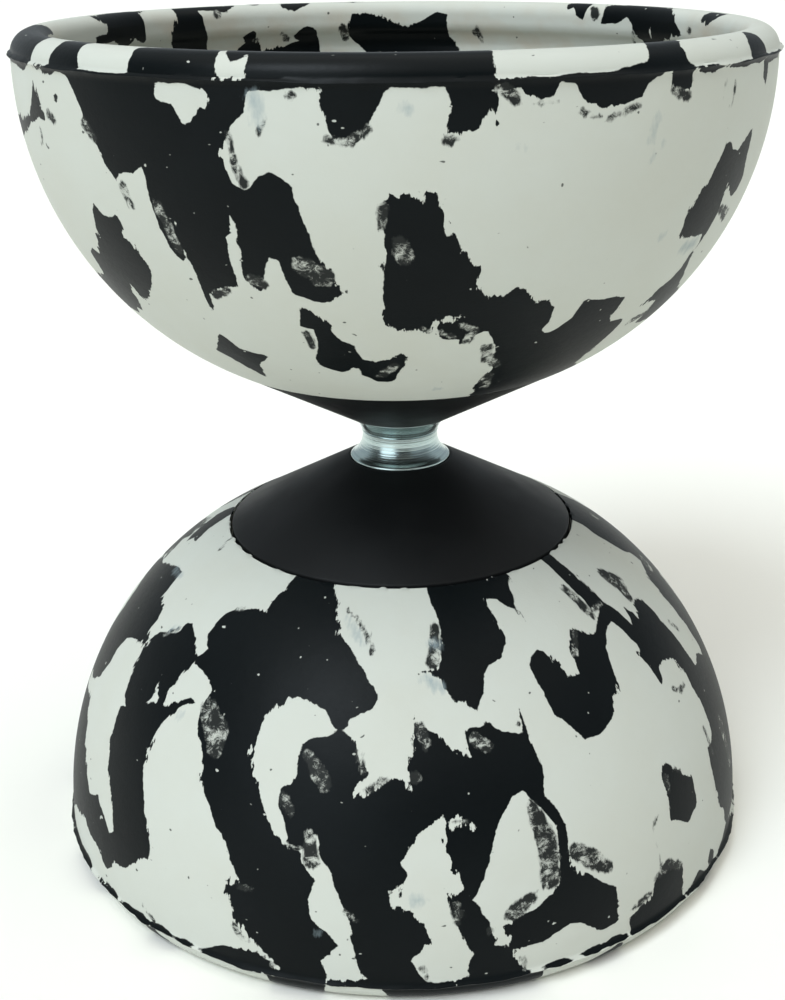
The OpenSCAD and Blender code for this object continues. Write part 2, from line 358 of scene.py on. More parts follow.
cup_r = 62.3
dome_r = 57.2                                       # arc of the outside of the dome
arc_r = cup_r - dome_r                              # distance of that arc's middle from the axis
arc_z = 67.0
inner_r = 53.6
inner_z = 68.2
rim_z = 72.2
land_half = 0.6
bead_r = 3.5
lip_r = 2.6
lip_face = 1.4
bead_drop = bead_r - math.sqrt(bead_r ** 2 - land_half ** 2)
bead_z = rim_z - bead_r + bead_drop
lip_z = rim_z - lip_r + bead_drop
bead_mid = cup_r - bead_r
pocket_r = 31.0                                     # a fine gap is left round the cone
hole_r = 13.15
flash_out = 0.75                                    # how far the flash stands out
flash_half = 0.45
flash_tip_half = 0.16
flash_root = 0.12
flash_grain = 1.6                                   # mm between the rags of the flash
flash_wave = 7.0                                    # mm between its longer waves
flash_film_and_shadow_half = 0.6                              # half width of the dark line along it: part black film, part painted shadow
nick_grain = 1.8                                    # mm between the nicks beside the cone
nick_depth = 0.5
nick_lift = 0.3
cup_steps = 400


def run(start, end, step):
    """Points of a straight run, about step apart in mm, without its first point."""
    count = max(1, round(math.dist(start, end) / step))
    return [tuple(a + (b - a) * i / count for a, b in zip(start, end)) for i in range(1, count + 1)]


dome_start = math.degrees(math.acos((pocket_r + 0.3 - arc_r) / dome_r))
outline = [(pocket_r, cone_edge_z + 0.45)]
outline += arc(arc_r, arc_z, dome_r, -dome_start, 0, 0.72)
outline += run(outline[-1], (cup_r, bead_z - 0.75), 0.4)
outline += [(cup_r + flash_root, bead_z - flash_half), (cup_r + flash_out - 0.1, bead_z - flash_tip_half),
            (cup_r + flash_out, bead_z), (cup_r + flash_out - 0.1, bead_z + flash_tip_half)]
outline += arc(bead_mid, bead_z, bead_r, math.degrees(flash_half / bead_r), 80.1, 0.36)
outline += run(outline[-1], (bead_mid - land_half, rim_z), 0.4)
outline += arc(bead_mid, lip_z, lip_r, 103.3, 180, 0.36)[1:]
outline += run(outline[-1], (bead_mid - lip_r, lip_z - lip_face), 0.4)
outline += arc(bead_mid, lip_z - lip_face, lip_r, 180, 236, 0.4)[1:]
step_r, step_z = outline[-1]
outline += [(step_r + 0.45, step_z - 0.55), (step_r + 0.7, step_z - 1.2)]
inner_start = -math.degrees(math.asin((inner_z - step_z + 2.0) / inner_r))
floor_meet = -math.degrees(math.asin((inner_z - floor_z - 1.0) / inner_r))
outline += arc(arc_r, inner_z, inner_r, inner_start, floor_meet, 0.95)
outline += run(outline[-1], (outline[-1][0] - 1.8, floor_z), 0.8)
outline += run(outline[-1], (hole_r, floor_z), 2.0)
outline += [(hole_r, seat_z), (pocket_r - 6, seat_z), (pocket_r, seat_z)]
steps = [0.0] + [math.dist(a, b) for a, b in zip(outline, outline[1:])]
along_outline = np.cumsum(steps)                    # mm of rubber from the cone's edge
profile = KDTree(len(outline))
for k, (r, z) in enumerate(outline):
    profile.insert((r, z, 0), k)
profile.balance()
flash_along = along_outline[int(np.argmax([r for r, z in outline]))] - 0.5

# Where the lumps lie: corners as (degrees round from the front, mm of rubber from the cone's edge).
# The flash is at 65 mm, the crest of the rim at 70, and the inside follows.
BLACK_UPPER = [
    # the great lump under the rim, left of the front, with its three legs
    [(-48, 65.5), (-46, 62.5), (-44, 59), (-42, 55), (-41, 51.5), (-39.5, 49.5), (-38.5, 51.5), (-36, 51),
     (-34, 52.5), (-34, 46), (-33, 40), (-31.5, 38), (-30.5, 40), (-30, 34), (-30.5, 28), (-28.5, 33),
     (-26, 33.5), (-23.5, 34), (-23, 40), (-22.5, 43.5), (-21.5, 44.5), (-21.5, 40), (-22, 36),
     (-20.5, 34), (-19.5, 34), (-18, 38), (-17, 40), (-16, 39.5), (-15, 33.5), (-12, 32.5), (-9.5, 32.5),
     (-7, 34), (-9, 38), (-10.5, 42), (-12, 48), (-12.5, 51), (-15, 53), (-17, 52), (-18.5, 50),
     (-20.5, 51), (-21.5, 55), (-20, 58.5), (-18, 60.5), (-17.5, 63.5), (-8.5, 64), (-7.5, 58.5), (-7, 57),
     (-5, 56.5), (-3.5, 57.5), (-2, 61), (-0.5, 64), (6.5, 64.5), (7, 61), (6.5, 58), (10, 58.5), (12, 62),
     (12.5, 59), (13, 62.5), (13.5, 65.5)],
    # the slanting lump at the far left
    [(-47, 45.5), (-45.5, 43.5), (-43.5, 43.5), (-41.5, 45), (-42, 40.5), (-40, 38), (-39.5, 36),
     (-40, 34), (-42, 31.5), (-44, 29.5), (-47, 27.5), (-48.5, 28), (-48.5, 31), (-50, 29), (-51, 26),
     (-53, 23.5), (-55, 24), (-57, 22), (-62, 22), (-70, 18), (-76, 16), (-84, 16), (-86, 24), (-80, 26),
     (-70, 26), (-66, 29), (-58, 30.5), (-57, 35), (-55, 36.5), (-53, 35.5), (-51, 38), (-49, 41)],
    [(-57.5, 63), (-56.5, 61), (-55, 57), (-61, 56), (-66, 54), (-74, 51.5), (-84, 50), (-84, 54),
     (-74, 55.5), (-66, 56), (-61, 57), (-58.5, 60.5)],
    [(-52, 60.5), (-50, 61.5), (-49.5, 60.5), (-50, 59.5)],
    # the four-pointed lump low on the left
    [(-32, 23), (-31.5, 21.5), (-30, 19.5), (-27.5, 18.5), (-24.5, 18), (-26.5, 16.5), (-28.5, 15),
     (-29.5, 12.5), (-31, 9), (-32.5, 10.5), (-34, 13.5), (-35.5, 15.5), (-37.5, 17), (-36, 19),
     (-34, 21)],
    # the hooked lump low at the front
    [(-14, 31.5), (-12.5, 30), (-10.5, 28), (-10, 25.5), (-9, 24), (-7, 23), (-6.5, 20.5), (-6, 19),
     (-4, 18.5), (-1, 19), (2, 21), (2, 18), (1, 16), (0, 13), (-1, 11.5), (-4, 11.5), (-5.5, 13),
     (-7, 14), (-7, 16), (-8, 16.5), (-9.5, 15), (-11, 14.5), (-12.5, 15.5), (-14.5, 17), (-14.5, 19),
     (-13.5, 22), (-13, 26.5), (-15, 27)],
    # the tall lump at the front, and the broad foot that it spreads to the right
    [(-0.5, 50), (3, 50), (3.5, 49), (4, 50.5), (5, 50), (6, 49.5), (6, 47.5), (7, 45), (8.5, 42.5),
     (9.5, 40.5), (10.5, 39), (11.5, 38.5), (12, 36), (12.5, 33.5), (14, 32.5), (16, 33), (18.5, 34.5),
     (20.5, 33), (21.5, 31.5), (24, 31), (25.5, 29.5), (26, 26.5), (25.5, 24.5), (26.5, 23.5), (28, 24),
     (30, 26), (30.5, 28), (31, 30), (34, 29.5), (38, 29.5), (40.5, 29), (40.5, 26), (40, 25), (41, 23),
     (44, 23), (45.5, 22.5), (45.5, 18), (45, 12), (47, 9), (55, 5), (70, 4), (84, 7), (100, 6), (110, -2),
     (22, -2), (20, 4), (18, 8), (19, 12), (19.5, 15), (17.5, 17), (18, 20), (17, 22.5), (15, 26),
     (13, 25), (12, 23.5), (11, 22.5), (10.5, 24), (8.5, 24), (7.5, 24.5), (7, 27), (8, 29), (6.5, 28.5),
     (5, 26), (3.5, 26.5), (1.5, 26.5), (-1.5, 28), (-1.5, 36.5), (-1, 41), (-1.5, 47)],
    # the eared lump on the right, and the arrow below it
    [(46, 41), (46, 43.5), (47, 45.5), (49, 48), (50.5, 50.5), (51.5, 53.5), (53, 53), (54, 52),
     (56, 51.5), (58, 53), (60, 55), (60.5, 50), (62, 46), (61, 43.5), (59.5, 43.5), (57.5, 45),
     (56, 46.5), (56, 44), (56.5, 41), (56, 38.5), (55, 36), (55, 33.5), (56.5, 31), (58.5, 28), (61, 26),
     (66, 24), (72, 22.5), (86, 23), (96, 19), (88, 14), (78, 14), (70, 15), (62, 18), (53.5, 19.5),
     (53.5, 23), (52, 25.5), (48, 25.5), (50, 28), (52.5, 30), (53.5, 32), (53.5, 34.5), (54.5, 36.5),
     (54, 38), (51, 38.5), (49, 38.5), (47, 39)],
    # lumps that hang from the flash on the right
    [(16, 65.5), (16, 63), (17.5, 62), (20, 62.5), (21, 65.5)],
    [(22.5, 65.5), (23, 63), (24, 61.5), (27, 60.5), (30, 61), (32.5, 61.5), (33.5, 63.5), (33.5, 65.5)],
    [(37, 65.5), (37.5, 62.5), (39, 61.5), (41, 62), (41.5, 65.5)],
    [(61, 65.5), (61.5, 62), (63, 60), (63.5, 62), (64, 65.5)],
    # dark stretches of the bead
    [(-88, 64), (-88, 74), (-62, 74), (-58, 70), (-58, 64.5)],
    [(-52, 64.5), (-51.5, 69), (-52, 71.5), (-46, 72), (-45.5, 69), (-43.5, 64.5)],
    [(-34.5, 64.5), (-35, 70), (-34.5, 71.5), (-22, 72), (-22, 70), (-21.5, 64.5)],
    [(-17.5, 64.5), (-18, 70), (-17.5, 72), (0, 72.5), (12.5, 72.5), (12.5, 70), (12.5, 64.5)],
    [(19, 64.5), (21, 66), (27, 66), (33, 67), (41, 66.5), (43, 65), (38, 65), (28, 64.5)],
    [(33, 65), (34.5, 69), (37, 74), (43, 78), (44, 74), (40.5, 69), (40.5, 67), (41.5, 65)],
    [(56, 65), (56.5, 68), (60, 71), (62, 69), (62.5, 65)],
    # lumps inside the cup, seen across it on the far wall
    [(168, 90), (168, 82.5), (170, 80), (170, 75), (172, 74.5), (175, 76), (178, 77.5), (181, 76.5),
     (184, 75), (187.5, 74.5), (190.5, 75), (190, 80), (188, 82), (186, 84), (187, 90), (182, 96),
     (173, 97)],
    [(196, 88), (196, 81), (197, 78), (198.5, 77), (200.5, 77.5), (201.5, 79.5), (200, 80.5), (204, 82),
     (208, 82), (209.5, 80), (210, 78), (211, 77.5), (212.5, 79), (211.5, 80.5), (213, 81.5), (215, 84),
     (216, 92), (206, 98), (199, 94)],
    [(218, 88), (219.5, 82), (220.5, 79), (221.5, 76), (222.5, 73), (219, 73), (216, 73.5), (213.5, 71.5),
     (228, 71.5), (228, 74), (230, 77), (229, 79), (228, 81), (226, 83), (223, 90)],
    [(197.5, 71.5), (199, 73), (202, 74), (204, 73), (204.5, 71.5)],
    [(234, 71.5), (237, 72.5), (240, 72.5), (240.5, 74), (240, 78), (241.5, 79), (246, 77.5), (252, 77.5),
     (252, 76), (248, 76), (247.5, 74), (250, 73.5), (250.5, 71.5)],
    [(113.5, 84.5), (114, 82.5), (119, 81), (120, 79), (117, 77.5), (113.5, 77), (115, 75.5), (117, 73),
     (120, 71.5), (136, 71.5), (135.5, 74.5), (136, 76), (132, 76), (129, 74.5), (127, 76.5), (123, 76.5),
     (123, 78), (125, 80.5), (127, 84), (130, 92), (122, 95), (118, 88)],
    [(141.5, 71.5), (143, 73), (144.5, 74), (144.5, 71.5)],
    [(101, 71.5), (102, 73), (104.5, 74.5), (107.5, 74), (107, 71.5)],
    [(100, 85), (108, 84), (113, 86), (119, 86.5), (112, 92), (102, 93)],
]
WHITE_UPPER = [
    [(-30.5, 64), (-30.5, 62), (-28, 61.5), (-26.5, 58.5), (-25.5, 59), (-24, 61), (-22.5, 61.5),
     (-22.5, 63), (-24, 64)],
    [(-31.5, 45), (-30.5, 45), (-29.5, 43.5), (-30.5, 43.5)],
    [(-23, 37), (-23, 43), (-22, 44), (-21.5, 46), (-21, 44.5), (-21.5, 42), (-21, 41), (-21.5, 39)],
    [(8, 28.5), (10.5, 29), (10, 29.5), (8, 29)], [(11, 26), (12.5, 27), (12.5, 27.5), (11, 26.5)],
    [(0, 62.5), (-0.5, 64.5), (6.5, 64.5), (6.5, 62)],
]
MOTTLED_UPPER = [
    [(-44, 57.5, 1.0), (-42.5, 55.5, 0.8)], [(-38.5, 49, 0.9), (-38, 46, 0.8)],
    [(-32.8, 47, 0.9), (-31.5, 40, 0.9)], [(-28, 32, 0.9), (-25, 33.5, 0.6)],
    [(-20.2, 58, 0.5), (-19.8, 54, 0.7), (-18.8, 51, 0.8)], [(-20.5, 36, 1.1), (-18.7, 35, 0.9)],
    [(-12.5, 39, 1.6), (-10, 37, 1.8)], [(-15, 60, 0.4), (-16.5, 58, 0.4)], [(-12, 63, 0.7)],
    [(-8, 57.5, 0.6), (-5, 57, 0.7), (-2.5, 59, 0.6)], [(-14.5, 25.5, 0.8), (-14.2, 22, 0.7)],
    [(-1.2, 48, 1.0), (-1.4, 45, 0.7)], [(0.8, 43, 1.0), (1.5, 40.5, 1.4)],
    [(4, 27, 0.5), (5.5, 26.3, 0.5)], [(7.5, 26, 0.6), (9.5, 24.8, 0.6)],
    [(10.5, 27.5, 0.6), (12.7, 26, 0.7), (12, 23.5, 0.7)],
    [(16, 21.5, 0.9), (17, 18, 1.0), (20, 15.5, 0.7)], [(19.5, 12, 1.0), (20.5, 9, 1.0), (22, 6, 0.8)],
    [(-3, 14, 1.0), (0, 17.5, 0.7)], [(7, 57.3, 1.0)], [(13.2, 63.8, 1.0), (15, 62.3, 1.0)],
    [(17.5, 61.6, 0.4), (20.5, 61.8, 0.3)], [(23.5, 60.3, 0.5), (27, 58.9, 0.5), (32, 60.4, 0.5)],
    [(38, 62, 0.8), (40.5, 61, 0.9)], [(49, 62.5, 0.5), (49, 60, 0.4)],
    [(51.5, 62, 0.5), (50.8, 58.5, 0.4)], [(-53.5, 58, 0.9), (-52, 57.3, 0.8)],
    [(-58.3, 53, 0.5), (-57.3, 55.5, 0.4)], [(57, 42, 0.8), (61, 40, 1.2)],
    [(49.5, 21, 1.0), (53, 22, 0.8)], [(190.8, 80.5, 0.8), (191.5, 77.5, 0.9)],
    [(203, 80, 0.9), (204, 78.5, 0.5)], [(209.5, 80, 0.7)], [(218.5, 74, 1.0)],
    [(163, 81, 0.5), (164, 79, 0.9), (163.5, 77.5, 0.4)], [(137.5, 74.5, 1.2), (138.5, 73, 0.8)],
    [(128.8, 80, 0.4), (128, 77.5, 0.5)], [(111, 76, 0.8)], [(184, 84, 0.9)],
]
SMUDGED_UPPER = [
    [(34.5, 55.5, 0.7), (35.3, 58.5, 0.8)], [(35.5, 52.5, 0.5), (37, 55, 0.5)],
    [(50, 36.5, 1.4), (52.5, 36.5, 1.4)], [(9.5, 7.5, 0.9)], [(-16.8, 63, 1.2), (-16, 59.8, 1.1)],
    [(2, 61.5, 1.0)], [(42, 40, 0.8)], [(16, 56, 0.6)],
]
BLACK_LOWER = [
    # the great lump from the cone, left of the front, with the trunk that runs to the rim
    [(-34, -2), (-34, 3), (-36, 6.5), (-35, 8.5), (-38, 8), (-41, 9), (-44, 9.5), (-45.5, 11), (-47, 13.5),
     (-47, 15.5), (-45.5, 17), (-44, 17.5), (-46, 19.5), (-46, 20.5), (-43, 21), (-40, 22), (-38, 23.5),
     (-39, 25), (-39, 27), (-37.5, 30.5), (-35, 33.5), (-34, 36.5), (-31, 41), (-28, 44.5), (-26.5, 47),
     (-24.5, 50), (-21.5, 51.5), (-27, 50), (-26, 53), (-25.5, 56), (-23.5, 58), (-21, 60), (-19, 62),
     (-17, 64), (-16.5, 66), (-11, 66), (-10.5, 63.5), (-11.5, 60.5), (-9, 58), (-10.5, 56), (-13, 54),
     (-13.5, 51), (-12.5, 47.5), (-15, 45), (-15, 43.5), (-17, 43.5), (-19, 42), (-21, 39.5), (-23, 36),
     (-24.5, 33), (-26, 30.5), (-25.5, 28), (-25.5, 25), (-24, 23.5), (-22, 21.5), (-20, 20.5), (-17, 21),
     (-14, 22), (-12.5, 24), (-11, 25), (-9.5, 24.5), (-9, 23), (-5.5, 21.5), (-4, 20), (-5, 18),
     (-7.5, 15), (-10.5, 12), (-13.5, 10), (-15, 9.5), (-15.5, 7), (-17, 4), (-19, 1.5), (-21, -2)],
    # the lump at the far left
    [(-94, 20), (-88, 15), (-78, 11.5), (-74, 11), (-72.5, 13.5), (-72, 17), (-69.5, 16.5), (-67, 17),
     (-65.5, 19), (-65, 21.5), (-62, 23.5), (-65, 24), (-70, 25), (-72.5, 26), (-73.5, 29), (-73.5, 32),
     (-75, 35.5), (-79, 38.5), (-88, 40), (-92, 35), (-90, 28)],
    # its neighbour, with a trunk that meets the band along the rim
    [(-63, 24), (-62.5, 21.5), (-61, 20), (-58, 19), (-55.5, 18), (-55.5, 16), (-53, 15.5), (-50, 17),
     (-48, 18.5), (-45.5, 19.5), (-46.5, 22), (-47.5, 24), (-48.5, 26.5), (-47.5, 29), (-44, 26.5),
     (-42, 25.5), (-40.5, 26.5), (-42, 26.5), (-44.5, 29), (-46.5, 30.5), (-47, 34), (-47, 40), (-46, 42),
     (-44.5, 46), (-42, 50), (-41.5, 53), (-44, 54), (-46, 56), (-48, 57.5), (-51, 58.5), (-52.5, 60.5),
     (-54, 61), (-56, 59), (-60, 58.5), (-63, 57), (-70, 58.5), (-73, 61), (-77, 64), (-88, 63), (-97, 55),
     (-92, 49), (-88, 43), (-79, 41), (-76, 40), (-74.5, 42), (-71.5, 43), (-69, 46.5), (-66, 47.5),
     (-64.5, 50), (-62, 51.5), (-58.5, 50), (-56, 51.5), (-53, 54), (-51.5, 53), (-53, 49.5),
     (-54.5, 46.5), (-56.5, 44.5), (-58.5, 41.5), (-59.5, 38), (-60, 34), (-58.5, 33.5), (-60.5, 32),
     (-62, 29)],
    [(-76, 65.5), (-70, 63.5), (-62, 64.5), (-58, 65.5)],
    [(-30.5, 64), (-27, 62), (-22, 61.5), (-19, 63), (-19, 65.5), (-27, 65.5)],
    # the edge of a lump that goes on round the back
    [(84, -2), (87, 6), (88, 12), (93, 18), (103, 18), (112, 11), (110, -2)],
    # the lumps at the front, grown together
    [(-17, 27.5), (-15, 26.5), (-12.5, 26), (-10.5, 25), (-8.5, 26), (-6.5, 28.5), (-5.5, 31.5),
     (-7.5, 34), (-7, 35), (-4.5, 33.5), (-1, 31.5), (0.5, 32), (2.5, 35), (2, 32.5), (1.5, 30.5),
     (2, 27.5), (3, 22), (5, 25), (9, 27), (12, 29.5), (11.5, 25), (15, 25), (15.5, 23.5), (17, 25.5),
     (20, 26.5), (22, 27), (22.5, 23), (23, 28), (24, 33), (23.5, 37), (25, 39), (26, 42), (26.5, 50),
     (29, 51), (31, 53), (33.5, 54.5), (34, 57.5), (34, 61), (31, 61.5), (29, 60), (27, 58.5), (25, 58),
     (23, 59), (21, 60), (16, 59.5), (15, 57), (15, 55.5), (17, 54.5), (20, 54), (22.5, 52), (24, 51),
     (24.5, 42), (20, 35.5), (18, 36), (16, 38.5), (14.5, 41), (13.5, 44), (12.5, 47.5), (10.5, 50.5),
     (9.5, 49), (8.5, 47), (7, 43.5), (6.5, 40.5), (7.5, 38.5), (6.5, 37.5), (4, 39), (2, 41), (0, 44.5),
     (1, 46), (-0.5, 51), (1.5, 52), (3, 54), (4.5, 57), (3, 58), (1.5, 60), (2.5, 62), (4.5, 66),
     (-3, 66), (-6, 61.5), (-7, 57.5), (-7.5, 53.5), (-9, 50), (-10, 46.5), (-12, 44), (-13, 40),
     (-14, 43), (-17, 43), (-18, 40), (-19.5, 37), (-19.5, 35), (-17.5, 33)],
    [(7, 49.5), (9.5, 49), (10, 50.5), (11.5, 52), (12.5, 54.5), (13.5, 57), (14, 58.5), (10, 59),
     (8.5, 56), (7.5, 53)],
    [(12.5, 58), (15, 59.5), (17, 62), (18, 64.5), (18, 66), (9.5, 66), (9.5, 61), (10.5, 59.5)],
    # the lump from the cone, right of the front
    [(8.5, -2), (8.5, 3), (9.5, 7), (9.5, 10), (9, 13), (8, 15), (4, 15.5), (8, 16.5), (9, 18.5),
     (10.5, 20.5), (12.5, 21), (14, 23), (15, 21.5), (16.5, 19.5), (17, 17), (19, 15.5), (22, 14.5),
     (24.5, 12.5), (24.5, 9), (24, 6), (23.5, 4), (25, 4), (27, 4.5), (29, 6.5), (30.5, 7.5), (31.5, 10),
     (31, 6.5), (32, 4.5), (34, 1), (34.5, -2)],
    # the crescent, its band to the right and the great lump at the far right
    [(27.5, 17), (28.5, 15.5), (31, 15), (33.5, 16.5), (34.5, 18.5), (35, 20.5), (36.5, 21), (38, 20.5),
     (38.5, 18.5), (38, 16.5), (39.5, 15.5), (41.5, 13.5), (43.5, 14.5), (45, 15.5), (47, 16), (49.5, 15),
     (51.5, 14), (53.5, 13), (56, 12.5), (57, 13.5), (58.5, 16), (59.5, 19), (60.5, 17), (61, 15.5),
     (62.5, 17.5), (63, 19.5), (65, 17), (68, 16), (70, 17.5), (70.5, 21), (71, 25), (72, 30), (72.5, 33),
     (74, 33), (77, 32.5), (80, 35), (81.5, 34), (81, 22), (82, 17.5), (89, 16), (96, 22), (94, 29),
     (99, 37), (93, 44), (97, 53), (88, 61), (75, 62), (68, 62), (66, 60), (65.5, 57.5), (63.5, 56),
     (62.5, 52), (62.5, 48), (63, 44), (65, 44.5), (66.5, 43.5), (67, 40), (66.5, 36), (66, 31),
     (64.5, 28), (62, 27), (59, 26.5), (57.5, 29), (56.5, 29.5), (56, 25.5), (55, 22.5), (56.5, 23),
     (56, 20), (55.5, 18), (54, 16), (52, 16), (49.5, 17.5), (47.5, 19), (46, 22.5), (45, 26), (43, 26.5),
     (41, 29.5), (38.5, 30), (36.5, 31), (33.5, 30.5), (31.5, 28), (29, 25.5), (28.5, 23)],
    [(50.5, -2), (55, -2), (55.5, 4), (56, 9), (56.5, 13), (53, 13), (51, 12), (50.5, 8)],
    # the five-sided lump, the hair above the rim and the lumps along the rim
    [(47.5, 40.5), (49, 40), (50.5, 42), (52.5, 43.5), (55, 45.5), (55, 50.5), (53, 51), (51.5, 52),
     (49.5, 50.5), (47, 49), (47, 46), (46.5, 43)],
    [(41.5, 57.5), (43, 56.5), (46, 57), (48, 57.5), (49, 60), (49, 66), (36.5, 66), (36, 61.5),
     (38, 60.5), (41, 60)],
    [(52, 63.5), (54, 62.5), (56.5, 64), (56, 65), (52.5, 65)],
    [(57.5, 63), (58.5, 61), (60, 62.5), (60.5, 64), (58, 64)],
    [(64, 64), (67, 61.5), (72, 63), (76, 66), (68, 66)],
    # dark stretches of the bead
    [(-20, 65), (-19, 75), (-12, 75), (-11, 65)], [(-3, 65), (0, 76), (8, 80), (20, 76), (21, 65)],
    [(29, 68), (31, 76), (36, 76), (35, 66)], [(56, 68), (58, 74), (63, 73), (62, 68)],
    [(-70, 66), (-64, 78), (-52, 77), (-58, 66)],
]
WHITE_LOWER = [
    [(7, 38.5), (9, 37.5), (11.5, 39.5), (11.5, 40.5), (9.5, 39), (7.5, 40)],
    [(-52.5, 26), (-51, 27.5), (-49.5, 29), (-52, 30), (-53, 31), (-52, 29)],
    [(-2, 48.5), (0, 48), (0.5, 50.5), (-0.5, 52), (-1.5, 51)],
    [(21.5, 56.5), (23, 57), (23.5, 57.5), (22, 57.5)],
    [(-45, 13), (-44, 13), (-43.5, 13.5), (-44.5, 13.5)],
]
MOTTLED_LOWER = [
    [(-37.5, 26, 1.6), (-34, 29, 2.4), (-33, 31.5, 1.6)],
    [(-16, 29, 0.8), (-13, 32, 1.4), (-12, 33.5, 1.0)], [(-18.5, 36, 1.0), (-17.5, 38, 0.9)],
    [(-14, 41, 1.0), (-13.3, 45, 1.3)], [(-7, 28, 0.6), (-6, 31, 0.5)],
    [(-5.5, 33.7, 0.7), (-2, 31.8, 0.5)], [(-43.5, 9.6, 0.5), (-42, 9, 0.5)],
    [(-60.5, 20.3, 0.4), (-56, 17.5, 0.5)], [(-24.5, 51.2, 0.5), (-22, 51, 0.4)],
    [(-25, 58, 0.7), (-23, 60, 0.6)], [(-6.5, 53.5, 0.5), (-8, 52, 0.4)],
    [(8.5, 8, 0.9), (8, 11, 1.0), (7, 14, 1.2)], [(2.5, 31.7, 1.0)], [(3.5, 24, 0.9), (4.5, 27, 0.8)],
    [(13, 26.5, 1.0), (15, 28, 1.0)], [(21.5, 25.5, 0.6)],
    [(21, 38, 1.0), (22.5, 44, 2.0), (22.5, 50, 1.6)], [(27, 46.5, 1.4), (30, 49, 1.7), (32.5, 51, 1.0)],
    [(16, 54, 1.2), (19, 52, 1.2)], [(8, 51, 0.7), (8, 54, 0.6)], [(9, 52.5, 0.6)], [(12.7, 56, 0.8)],
    [(17.5, 62, 0.7), (18, 64, 0.4)], [(8, 38.6, 0.3), (10.5, 38.8, 0.4)], [(3, 61.5, 0.7), (4, 64, 0.4)],
    [(48.5, 7, 0.9), (49.5, 11, 1.1), (50, 13.5, 0.7)], [(52, 12.7, 0.6), (55, 12.3, 0.5)],
    [(39, 17.5, 0.7), (42.5, 14.2, 0.5)], [(47.8, 42.5, 1.0), (47.8, 44.5, 0.6)],
    [(50.5, 41.8, 0.6), (52, 43, 0.4)], [(42, 57, 0.6), (45, 56, 1.0), (48, 58, 0.8)],
    [(37, 60.2, 0.6), (40.5, 59.2, 0.7)], [(65.5, 9, 1.2), (67.5, 12, 2.0), (66, 15, 1.0)],
    [(59, 31, 0.4), (61.5, 32.7, 0.7), (63.5, 32.5, 0.4)], [(73, 45, 1.6), (74, 53, 1.4)],
    [(-72.5, 0.5, 0.4), (-70, 3.2, 0.4)], [(-43.5, 61.8, 0.4), (-40.5, 63.8, 0.4)],
    [(43.8, 47, 0.25), (42.6, 48.5, 0.25), (42.8, 52, 0.25), (43.3, 56, 0.3)], [(-19, 63.2, 0.5)],
    [(73.5, 24, 0.5), (75, 26.5, 0.6)], [(64, 41, 0.5), (64.5, 46, 0.5)], [(-38, 53, 0.3)],
    [(-14.3, 4.8, 0.25), (-11, 6.3, 0.35), (-8, 8.7, 0.5), (-6, 12.2, 0.5)],
]
SMUDGED_LOWER = [
    [(-13, 6.5, 0.5), (-10.5, 9, 0.9), (-8.5, 11, 0.5)], [(5.5, 16.5, 1.0), (7.5, 18, 1.2)], [(8, 11, 1.4)],
    [(-43, 28.5, 0.8), (-43.5, 30, 0.5)], [(-78, 12.3, 0.9), (-72.5, 11.8, 0.8)], [(2.5, 50, 1.4)],
    [(-57, 17.6, 0.6), (-59, 18.6, 0.4)], [(-12, 56, 0.8)],
]


def apart(turn, centre):
    """Angles as near as possible to centre, in degrees."""
    return (turn - centre + 180) % 360 - 180 + centre


def segment_gap(ax, ay, bx, by):
    """Distance from the origin to each segment, and how far along it the nearest point lies."""
    dx, dy = bx - ax, by - ay
    share = np.clip(-(ax * dx + ay * dy) / np.maximum(dx * dx + dy * dy, 1e-9), 0, 1)
    return np.hypot(ax + share * dx, ay + share * dy), share


def outline_depth(turn, along, radius, corners):
    """Depth in mm inside a closed outline, negative outside it."""
    turn = apart(turn, corners[0][0])
    gap = np.full(turn.shape, np.inf)
    inside = np.zeros(turn.shape, bool)
    for (turn_a, along_a), (turn_b, along_b) in zip(corners, corners[1:] + corners[:1]):
        near, _ = segment_gap(np.radians(turn_a - turn) * radius, along_a - along,
                              np.radians(turn_b - turn) * radius, along_b - along)
        gap = np.minimum(gap, near)
        if along_a != along_b:
            crossing = turn_a + (along - along_a) * (turn_b - turn_a) / (along_b - along_a)
            inside ^= ((along_a > along) != (along_b > along)) & (turn < crossing)
    return np.where(inside, gap, -gap)


def streak_depth(turn, along, radius, beads):
    """Depth in mm inside a streak, given as beads of (degrees, mm, half width in mm)."""
    turn = apart(turn, beads[0][0])
    depth = np.full(turn.shape, -np.inf)
    for (turn_a, along_a, half_a), (turn_b, along_b, half_b) in zip(beads, beads[1:] or beads):
        gap, share = segment_gap(np.radians(turn_a - turn) * radius, along_a - along,
                                 np.radians(turn_b - turn) * radius, along_b - along)
        depth = np.maximum(depth, half_a + (half_b - half_a) * share - gap)
    return depth


def random_lumps(seed, first, last, low, high, count):
    """Outlines of lumps in the same manner, for a stretch of rubber that has none."""
    dice = random.Random(seed)
    lumps = []
    for i in range(count):
        turn, along = dice.uniform(first, last), dice.uniform(low, high)
        wide, tall, lean = dice.uniform(3, 9), dice.uniform(4, 15), dice.uniform(-0.5, 0.5)
        corners = dice.randint(12, 20)
        lump = []
        for k in range(corners):
            around = 2 * math.pi * k / corners
            reach = dice.uniform(0.6, 1.2)
            x, y = wide * reach * math.cos(around), tall * reach * math.sin(around)
            lump.append((turn + x + lean * y, along + y))
        lumps.append(lump)
    return lumps


def random_streaks(seed, first, last, low, high, count):
    """Short mottled streaks, scattered over a stretch of rubber."""
    dice = random.Random(seed)
    streaks = []
    for i in range(count):
        turn, along, half = dice.uniform(first, last), dice.uniform(low, high), dice.uniform(0.5, 1.6)
        end = (turn + dice.uniform(-4, 4), along + dice.uniform(-4, 4), half * dice.uniform(0.4, 1.0))
        streaks.append([(turn, along, half), end])
    return streaks


depth_limit = 6.0                                   # mm, past which no edge pattern reaches
near_degrees = 10                                   # how far round a shape is looked for


